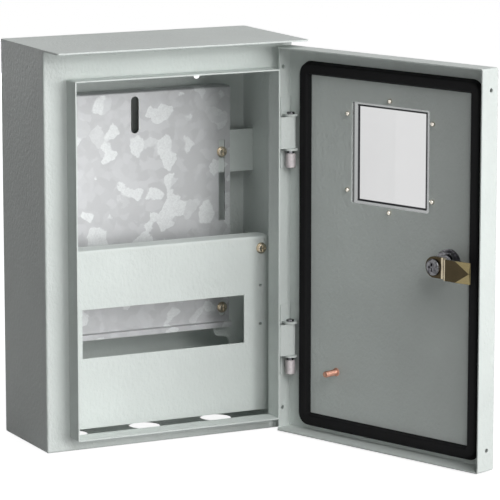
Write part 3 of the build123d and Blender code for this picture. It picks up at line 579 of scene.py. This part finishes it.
# Finishes: these tones are shares of the finish's own colour, from dark to light
PAINT_TONES = (0.95, 1.045)
PAINT_GLOSS_SPREAD = 0.06
PAINT_SPECULAR = 0.22
PAINT_RIPPLE_DEPTH = 0.0006
ZINC_TONES = (0.95, 1.06)
FOAM_TONES = (0.6, 1.6)
FOAM_SPECULAR = 0.15
COPPER_SHADE = 0.8
METAL_GLOSS_SPREAD = 0.2  # share of the roughness
METAL_RELIEF = 0.06  # depth of the relief for the width of its grain

# Colours, from dark to light
PASSIVATE_SHADE = (0.44, 0.40, 0.33)
# Bright plating: these dark tones are a painted reflection of dark surroundings, not the metal's
# own colour
PLATING_REFLECTION_TONES = ((0.045, 0.045, 0.05), (0.21, 0.21, 0.22))
DULL_ZINC_TONES = ((0.58, 0.54, 0.55), (0.74, 0.68, 0.69))
BRIGHT_ZINC_TONES = ((0.50, 0.46, 0.40), (0.80, 0.76, 0.68))

PANE_FACE_TONES = ((0.645, 0.645, 0.648), (0.675, 0.675, 0.678))
# Round the flat face of the window, from its edge: where a band begins, where it is full, colour.
# The first three bands are painted light: painted shade as a dark line at the bend, painted shade
# as grey on the sloping side, and the painted shadow of the door's edge at the foot of the slope.
# The last is the clear flange.
PANE_BANDS = (
    # painted shade: dark line at the bend
    (-0.95 * MM, -0.6 * MM, (0.004, 0.004, 0.005)),  # dark line of the bend
    # painted shade: grey on the sloping side
    (0.8 * MM, 1.2 * MM, (0.38, 0.39, 0.39)),  # sloping side
    # painted shadow of the door's edge at the foot of the slope
    (4.6 * MM, 5.0 * MM, (0.03, 0.032, 0.032)),  # dark foot of the slope
    (6.0 * MM, 6.4 * MM, (0.86, 0.87, 0.865)),  # clear flange
)

# Cam: dark tones are the strap's bronze darkened as painted shade; the corner and crank colours are
# painted highlights where those facets face the light
CAM_SHADED_TONES = ((0.040, 0.030, 0.014), (0.070, 0.052, 0.026))
CAM_CORNER_HIGHLIGHT = (0.27, 0.22, 0.11)
CAM_CORNER_REACH = 16.0 * MM  # from the tip along the strap
CAM_CORNER_SPAN = (-0.01, 0.03)
CAM_CRANK_HIGHLIGHT = (0.60, 0.52, 0.38)
CAM_CRANK_FROM_TIP = 32.0 * MM
CAM_CRANK_SPAN = (4.8 * MM, 4.2 * MM)  # half the band's width, where it ends and where it is full


def paint_material(finish):
    """Powder coat: rippled, with a slow change of tone and a fine speckle in its gloss."""
    tree, shader = new_material("powder coat")
    grain = place_group(
        tree, "surface grain", Ripple=1.0 / finish.peel_size, Mottle=7.0, Stretch=0.7)
    dark, light = (tinted(finish.paint_colour, tone) for tone in PAINT_TONES)
    colour = colour_mix(tree, range_node(tree, grain["Cloud"], CLOUD_SPAN), dark, light)
    tree.links.new(colour, shader.inputs["Base Color"])
    shader.inputs["Specular IOR Level"].default_value = PAINT_SPECULAR
    wandering_gloss(tree, shader, grain["Speck"], finish.paint_roughness - PAINT_GLOSS_SPREAD,
                    finish.paint_roughness + PAINT_GLOSS_SPREAD)
    relief(tree, shader, grain["Height"], strength=1.0, distance=PAINT_RIPPLE_DEPTH)


def galvanised_material(finish):
    """Hot-dip zinc: bright ragged patches on an even grey, with a frosty sheen."""
    tree, shader = new_material("galvanised sheet")
    spangle = place_group(tree, "zinc spangle", Scale=1.0 / finish.spangle_size)
    dark, light = (tinted(finish.zinc_colour, tone) for tone in ZINC_TONES)
    base = colour_mix(tree, spangle["Tone"], dark, light)
    flaked = colour_mix(tree, spangle["Bright"], base, finish.flake_colour)
    tree.links.new(flaked, shader.inputs["Base Color"])
    shader.inputs["Metallic"].default_value = 0.35
    wandering_gloss(tree, shader, spangle["Frost"], low=0.42, high=0.58)
    relief(tree, shader, spangle["Frost"], strength=0.25, distance=0.00008)


def metal_material(name, dark, light, roughness, grain_size, metallic=1.0):
    """Plated metal: two tones in small clouds and a fine grain in the gloss."""
    tree, shader = new_material(name)
    grain = place_group(
        tree, "surface grain", Ripple=1.0 / grain_size, Mottle=240.0, Stretch=1.0)
    colour = colour_mix(tree, range_node(tree, grain["Cloud"], CLOUD_SPAN), dark, light)
    tree.links.new(colour, shader.inputs["Base Color"])
    shader.inputs["Metallic"].default_value = metallic
    wandering_gloss(tree, shader, grain["Speck"], roughness * (1 - METAL_GLOSS_SPREAD),
                    roughness * (1 + METAL_GLOSS_SPREAD))
    relief(tree, shader, grain["Height"], strength=0.2, distance=grain_size * METAL_RELIEF)


def foam_material(finish):
    """Foamed-in-place gasket: nearly black, matt, with fine closed pores."""
    tree, shader = new_material("gasket foam")
    grain = place_group(tree, "surface grain", Ripple=1400.0, Mottle=60.0, Stretch=1.0)
    dark, light = (tinted(finish.foam_colour, tone) for tone in FOAM_TONES)
    tree.links.new(colour_mix(tree, grain["Cloud"], dark, light), shader.inputs["Base Color"])
    shader.inputs["Specular IOR Level"].default_value = FOAM_SPECULAR
    wandering_gloss(tree, shader, grain["Speck"], low=0.55, high=0.8)
    relief(tree, shader, grain["Speck"], strength=0.35, distance=0.0003)


def clear_material(parts):
    """Clear pressed sheet: a bright face, painted shade as a dark line where it bends and as grey
    on its sloping sides, and a painted shadow of the door's edge at the foot of the slope.
    """
    tree, shader = new_material("clear sheet")
    grain = place_group(tree, "surface grain", Ripple=60.0, Mottle=20.0, Stretch=1.0)
    colour = colour_mix(tree, grain["Cloud"], *PANE_FACE_TONES)
    axes = shut_axes(tree)
    low, high = shut_box("window_pane")
    centre = (low + high) / 2
    past = []
    for label, middle, size in (("X", centre[0], parts.pane_face_width),
                                ("Z", centre[2], parts.pane_face_height)):
        off = math_node(tree, "ABSOLUTE", math_node(tree, "SUBTRACT", axes[label], float(middle)))
        past.append(math_node(tree, "SUBTRACT", off, size / 2))
    edge = math_node(tree, "MAXIMUM", *past)
    # lays the painted shade, the painted shadow and the clear flange over the face
    for begin, full, tone in PANE_BANDS:
        colour = colour_mix(tree, range_node(tree, edge, (begin, full)), colour, tone)
    tree.links.new(colour, shader.inputs["Base Color"])
    shader.inputs["Roughness"].default_value = 0.04
    shader.inputs["Transmission Weight"].default_value = 1.0
    shader.inputs["IOR"].default_value = 1.35
    relief(tree, shader, grain["Height"], strength=0.03, distance=0.0004)


def cam_material():
    """Passivated strap whose dark tones are its bronze colour darkened as painted shade, with
    painted highlights on its crank and on the two corners of its tip.
    """
    tree, shader = new_material("passivate with painted shade and highlights")
    grain = place_group(tree, "surface grain", Ripple=1500.0, Mottle=140.0, Stretch=1.0)
    dark = colour_mix(tree, grain["Cloud"], *CAM_SHADED_TONES)
    axes = shut_axes(tree)
    low, high = shut_box("lock_cam")
    tip, middle, half = float(low[0]), float(low[2] + high[2]) / 2, float(high[2] - low[2]) / 2
    from_tip = math_node(tree, "SUBTRACT", axes["X"], tip)
    along = math_node(tree, "DIVIDE", from_tip, CAM_CORNER_REACH)
    off = math_node(tree, "ABSOLUTE", math_node(tree, "SUBTRACT", axes["Z"], middle))
    past = math_node(tree, "SUBTRACT", math_node(tree, "DIVIDE", off, half), along)
    # painted highlight on the two corners of the tip
    corner_highlight = colour_mix(tree, range_node(tree, past, CAM_CORNER_SPAN), dark, CAM_CORNER_HIGHLIGHT)
    # painted highlight on the crank
    from_crank = math_node(tree, "SUBTRACT", axes["X"], tip + CAM_CRANK_FROM_TIP)
    crank = range_node(tree, math_node(tree, "ABSOLUTE", from_crank), CAM_CRANK_SPAN)
    colour = colour_mix(tree, crank, corner_highlight, CAM_CRANK_HIGHLIGHT)
    tree.links.new(colour, shader.inputs["Base Color"])
    shader.inputs["Metallic"].default_value = 0.85
    wandering_gloss(tree, shader, grain["Speck"], low=0.26, high=0.38)
    relief(tree, shader, grain["Height"], strength=0.2, distance=0.00004)


class ENCLOSURE_OT_finishes(bpy.types.Operator):
    """Makes the shared shader groups and the finishes"""
    bl_idname = "enclosure.finishes"
    bl_label = "Make finishes"

    def execute(self, context):
        finish = context.scene.enclosure_finish
        grain_group()
        spangle_group()
        paint_material(finish)
        galvanised_material(finish)
        metal_material("yellow passivate", PASSIVATE_SHADE, finish.passivate_colour,
                       roughness=0.28, grain_size=0.0006)
        copper_shade = tinted(finish.copper_colour, COPPER_SHADE)
        metal_material("copper coat", copper_shade, finish.copper_colour,
                       roughness=0.32, grain_size=0.0004)
        # bright plating with dark tones as a painted dark reflection
        metal_material("bright plating", *PLATING_REFLECTION_TONES, roughness=0.12, grain_size=0.0012)
        metal_material("dull zinc", *DULL_ZINC_TONES,
                       roughness=0.55, grain_size=0.0008, metallic=0.3)
        metal_material("bright zinc", *BRIGHT_ZINC_TONES, roughness=0.18, grain_size=0.0008)
        cam_material()
        foam_material(finish)
        clear_material(context.scene.enclosure_parts)
        return {"FINISHED"}


class ENCLOSURE_OT_dress_nodes(bpy.types.Operator):
    """Gives the CAD pieces their finishes"""
    bl_idname = "enclosure.dress_nodes"
    bl_label = "Dress CAD pieces"

    def execute(self, context):
        for finish, nodes in DRESSED_NODES.items():
            for node in nodes:
                dress(frame["nodes"][node], finish)
        return {"FINISHED"}


# Gasket
FOAM_CORNER_STEPS = 10
FOAM_CROWN_STEPS = 6
FOAM_INNER_CORNER = 0.6 * MM
FOAM_CREASE = 50.0  # degrees


def foam_grid(low, high, parts):
    """Foam strip round a closed door: P = outer loop (1 - s) + inner loop s, raised by rise(s).
    From the foot the sides lean in and up, and the top is rounded by two quarter circles,
    s = (lean + crown (1 - cos a)) / width and rise = height - crown + crown sin a."""
    crown, strip, lean = parts.foam_crown, parts.foam_width, parts.foam_lean
    wide, height, tall = high - low
    outer = rounded_loop(wide, tall, parts.foam_corner, FOAM_CORNER_STEPS)
    inner = rounded_loop(wide - 2 * strip, tall - 2 * strip, FOAM_INNER_CORNER, FOAM_CORNER_STEPS)
    angle = np.linspace(0, math.pi, 2 * FOAM_CROWN_STEPS + 1)
    first, second = angle[:FOAM_CROWN_STEPS + 1], angle[FOAM_CROWN_STEPS:]
    across = np.concatenate([[0.0], lean + crown * (1 - np.cos(first)),
                             strip - lean - crown * (1 + np.cos(second)), [strip]]) / strip
    rise = np.concatenate([[0.0], height - crown + crown * np.sin(first),
                           height - crown + crown * np.sin(second), [0.0]])
    share = across[None, :, None]
    flat = outer[:, None, :] * (1 - share) + inner[:, None, :] * share
    centre = (low + high) / 2
    return np.stack([centre[0] + flat[..., 0], low[1] + np.broadcast_to(rise, flat.shape[:2]),
                     centre[2] + flat[..., 1]], axis=-1)


class ENCLOSURE_OT_gasket(bpy.types.Operator):
    """Foam gasket with a crowned top, on the inside of the door"""
    bl_idname = "enclosure.gasket"
    bl_label = "Foam gasket"

    def execute(self, context):
        grid = foam_grid(*shut_box("door_gasket"), context.scene.enclosure_parts)
        piece = surface("foam_gasket", swing_open(grid), close_u=True, close_v=True)
        smooth(piece, FOAM_CREASE)
        dress(piece, "gasket foam")
        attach(piece, DOOR_BODY)
        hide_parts("door_gasket")
        return {"FINISHED"}


# Turned pieces
TURNED_CREASE = 40.0  # degrees
STUD_COLLAR_SIDE = 0.6 * MM
STUD_COLLAR_BEVEL = 0.3 * MM
STUD_COLLAR_RISE = 0.9 * MM
STUD_FOOT_RISE = 1.1 * MM
STUD_FOOT_SHARE = 0.9  # of the rod's radius
STUD_THREAD_FROM = 1.0 * MM
STUD_THREAD_DEPTH = 0.42 * MM


class ENCLOSURE_OT_studs(bpy.types.Operator):
    """Threaded copper earth studs on the side wall and on the door"""
    bl_idname = "enclosure.studs"
    bl_label = "Earth studs"

    def execute(self, context):
        pitch = context.scene.enclosure_parts.stud_pitch
        for node, body, find_axis in (("ground_stud", ROOT_BODY, wall_axis),
                                      ("door_stud", DOOR_BODY, door_axis)):
            base, axis = find_axis(node)
            length = np.linalg.norm(axis)
            along, out = radial(node_points(node), base, axis)
            collar = out.max()
            radius = out[along > length / 2].max()
            profile = [(0, 0), (collar, 0), (collar, STUD_COLLAR_SIDE),
                       (collar - STUD_COLLAR_BEVEL, STUD_COLLAR_RISE),
                       (radius * STUD_FOOT_SHARE, STUD_FOOT_RISE), (0, STUD_FOOT_RISE)]
            foot = turned("foot", profile, base, axis)
            rod = threaded_rod("rod", radius, STUD_THREAD_FROM, length, pitch,
                               STUD_THREAD_DEPTH, base, axis)
            piece = join_pieces(node + "_threaded", [foot, rod])
            smooth(piece, TURNED_CREASE)
            dress(piece, "copper coat")
            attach(piece, body)
            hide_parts(node)
        return {"FINISHED"}


BARREL_STEPS = 96
BARREL_THREAD_ROWS = 150
BARREL_THREAD_DEPTH = 0.7 * MM
BARREL_NECK = 1.2 * MM  # plain, behind the head
BARREL_THREAD_FROM_HEAD = 1.3 * MM
BARREL_THREAD_FROM_END = 0.4 * MM
BARREL_END_BEVEL = 1.1 * MM
HEAD_EDGE = 0.9 * MM
HEAD_BORE_EDGE = 0.4 * MM
END_BORE_EDGE = 0.3 * MM
SAME_RADIUS = 0.1 * MM


def barrel_grid(node, pitch):
    """Lock body as one closed profile, spun: from the bore over the bevelled head and the plain
    neck, along a thread r = radius - depth (1 - wave), over the bevelled end back to the bore."""
    base, axis = door_axis(node)
    length = np.linalg.norm(axis)
    along, out = radial(node_points(node), base, axis)
    head = out.max()
    head_rise = along[out > head - SAME_RADIUS].max()
    radius = out[along > length / 2].max()
    bore = out.min()
    angles = full_circle(BARREL_STEPS)
    rows = np.linspace(head_rise + BARREL_THREAD_FROM_HEAD, length - BARREL_THREAD_FROM_END,
                       BARREL_THREAD_ROWS)
    thread = thread_radii(radius, BARREL_THREAD_DEPTH, pitch, rows, angles)
    front = np.array([(bore, HEAD_BORE_EDGE), (bore + HEAD_BORE_EDGE, 0), (head - HEAD_EDGE, 0),
                      (head, HEAD_EDGE), (head, head_rise), (radius, head_rise),
                      (radius, head_rise + BARREL_NECK)])
    back = np.array([(radius - BARREL_END_BEVEL, length), (bore + END_BORE_EDGE, length),
                     (bore, length - END_BORE_EDGE)])
    radii = np.concatenate([np.broadcast_to(front[:, 0], (BARREL_STEPS, len(front))), thread,
                            np.broadcast_to(back[:, 0], (BARREL_STEPS, len(back)))], axis=1)
    heights = np.concatenate([front[:, 1], rows, back[:, 1]])
    return spun(radii, heights, angles, base, axis)


class ENCLOSURE_OT_lock_body(bpy.types.Operator):
    """Threaded lock body with its round head on the outside of the door"""
    bl_idname = "enclosure.lock_body"
    bl_label = "Lock body"

    def execute(self, context):
        grid = barrel_grid("lock_body", context.scene.enclosure_parts.thread_pitch)
        piece = surface("lock_barrel", grid, close_u=True, close_v=True)
        smooth(piece, TURNED_CREASE)
        dress(piece, "bright plating")
        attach(piece, DOOR_BODY)
        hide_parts("lock_body")
        return {"FINISHED"}


# Stage
LAMP_TARGET = (0.03, -0.1, 0.0)
BROAD_LAMP = (1.6, 1.6)
SMALL_LAMP = (0.5, 0.5)
STRIP_LAMP = (1.6, 0.3)
SENSOR_WIDTH = 36.0  # in mm, as the lens
FARTHEST_SEEN = 50.0
FLOOR_GAP = 0.0005
FLOOR_HALF_SIDE = 6.0
FLOOR_ROUGHNESS = 0.9


def area_lamp(name, place, size, power):
    """Soft white lamp that faces the enclosure."""
    lamp = bpy.data.lights.new(name, "AREA")
    lamp.shape = "RECTANGLE"
    lamp.size, lamp.size_y = size
    lamp.energy = power
    holder = bpy.data.objects.new(name, lamp)
    bpy.context.scene.collection.objects.link(holder)
    holder.location = place
    look = Vector(LAMP_TARGET) - Vector(place)
    holder.rotation_euler = look.to_track_quat("-Z", "Y").to_euler()


def seen_directly(tree):
    """1 for rays from the camera, from gloss or through glass, 0 for the rest."""
    path = tree.nodes.new("ShaderNodeLightPath").outputs
    pair = math_node(tree, "MAXIMUM", path["Is Camera Ray"], path["Is Glossy Ray"])
    return math_node(tree, "MAXIMUM", pair, path["Is Transmission Ray"])


class ENCLOSURE_OT_stage(bpy.types.Operator):
    """Camera, lamps, white room and floor"""
    bl_idname = "enclosure.stage"
    bl_label = "Stage"

    def execute(self, context):
        stage = context.scene.enclosure_stage
        self.camera(stage)
        self.room(stage)
        self.floor(stage)
        area_lamp("key", place=(0.6, -1.33, 2.56), size=BROAD_LAMP, power=stage.key_power)
        area_lamp("right", place=(1.24, -2.7, 0.4), size=BROAD_LAMP, power=stage.right_power)
        area_lamp("front", place=(0.03, -2.48, 1.66), size=BROAD_LAMP, power=stage.front_power)
        area_lamp("left", place=(-1.0, -2.7, 0.1), size=SMALL_LAMP, power=stage.left_power)
        area_lamp("back", place=(0.3, 2.6, 0.0), size=STRIP_LAMP, power=stage.back_power)
        context.scene.view_settings.view_transform = "Standard"
        return {"FINISHED"}

    def camera(self, stage):
        """Camera at the photograph's viewing angle."""
        lens = bpy.data.cameras.new("camera")
        lens.lens = stage.camera_lens
        lens.sensor_width = SENSOR_WIDTH
        lens.clip_end = FARTHEST_SEEN
        eye = bpy.data.objects.new("camera", lens)
        bpy.context.scene.collection.objects.link(eye)
        az, el = stage.camera_azimuth, stage.camera_tilt
        ahead = Vector((math.sin(az) * math.cos(el), math.cos(az) * math.cos(el), -math.sin(el)))
        right = Vector((math.cos(az), -math.sin(az), 0.0))
        up = right.cross(ahead)
        turn = Matrix((right, up, -ahead)).transposed().to_4x4()
        eye.matrix_world = Matrix.Translation(Vector(stage.camera_place)) @ turn
        bpy.context.scene.camera = eye

    def room(self, stage):
        """White to the eye, plain grey as a light."""
        world = bpy.data.worlds.new("room")
        bpy.context.scene.world = world
        world.use_nodes = True
        tree = world.node_tree
        sky = tree.nodes["Background"]
        sky.inputs["Color"].default_value = (1.0, 1.0, 1.0, 1.0)
        level = range_node(tree, seen_directly(tree), WHOLE, (stage.sky_level, 1.0))
        tree.links.new(level, sky.inputs["Strength"])

    def floor(self, stage):
        """Pale floor that looks white and keeps the shadow: a flat grid just below the box."""
        side = np.linspace(-FLOOR_HALF_SIDE, FLOOR_HALF_SIDE, 3)
        x, y = np.meshgrid(side, side, indexing="ij")
        level = np.full_like(x, CAD_BOUNDS[0][2] - FLOOR_GAP)
        floor = surface("floor", np.stack([x, y, level], axis=-1))
        tree, shader = new_material("pale floor")
        tone = stage.floor_tone
        shader.inputs["Base Color"].default_value = (tone, tone, tone, 1.0)
        shader.inputs["Roughness"].default_value = FLOOR_ROUGHNESS
        glow = tree.nodes.new("ShaderNodeEmission")
        strength = range_node(tree, seen_directly(tree), WHOLE, (0.0, stage.floor_glow))
        tree.links.new(strength, glow.inputs["Strength"])
        add = tree.nodes.new("ShaderNodeAddShader")
        tree.links.new(shader.outputs[0], add.inputs[0])
        tree.links.new(glow.outputs[0], add.inputs[1])
        tree.links.new(add.outputs[0], tree.nodes["Material Output"].inputs["Surface"])
        dress(floor, "pale floor")


class ENCLOSURE_PT_panel(bpy.types.Panel):
    """Lists the steps and their settings"""
    bl_idname = "ENCLOSURE_PT_panel"
    bl_label = "Electrical enclosure"
    bl_space_type = "VIEW_3D"
    bl_region_type = "UI"
    bl_category = "Enclosure"

    def draw(self, context):
        for step in STEPS:
            self.layout.operator(step.bl_idname)
        scene = context.scene
        for group in (scene.enclosure_finish, scene.enclosure_parts, scene.enclosure_stage):
            box = self.layout.box()
            for label in group.__annotations__:
                box.prop(group, label)


STEPS = (ENCLOSURE_OT_finishes, ENCLOSURE_OT_dress_nodes, ENCLOSURE_OT_gasket,
         ENCLOSURE_OT_studs, ENCLOSURE_OT_lock_body, ENCLOSURE_OT_stage)
GROUPS = (ENCLOSURE_PG_finish, ENCLOSURE_PG_parts, ENCLOSURE_PG_stage)


def register():
    """Makes the classes and their settings known to Blender."""
    for item in (*GROUPS, *STEPS, ENCLOSURE_PT_panel):
        bpy.utils.register_class(item)
    bpy.types.Scene.enclosure_finish = bpy.props.PointerProperty(type=ENCLOSURE_PG_finish)
    bpy.types.Scene.enclosure_parts = bpy.props.PointerProperty(type=ENCLOSURE_PG_parts)
    bpy.types.Scene.enclosure_stage = bpy.props.PointerProperty(type=ENCLOSURE_PG_stage)


def unregister():
    """Takes them out again, in the other order."""
    del bpy.types.Scene.enclosure_stage
    del bpy.types.Scene.enclosure_parts
    del bpy.types.Scene.enclosure_finish
    for item in (ENCLOSURE_PT_panel, *reversed(STEPS), *reversed(GROUPS)):
        bpy.utils.unregister_class(item)


def main():
    """Builds everything in order."""
    register()
    bpy.ops.enclosure.finishes()
    bpy.ops.enclosure.dress_nodes()
    bpy.ops.enclosure.gasket()
    bpy.ops.enclosure.studs()
    bpy.ops.enclosure.lock_body()
    bpy.ops.enclosure.stage()


if __name__ == "__main__":
    main()
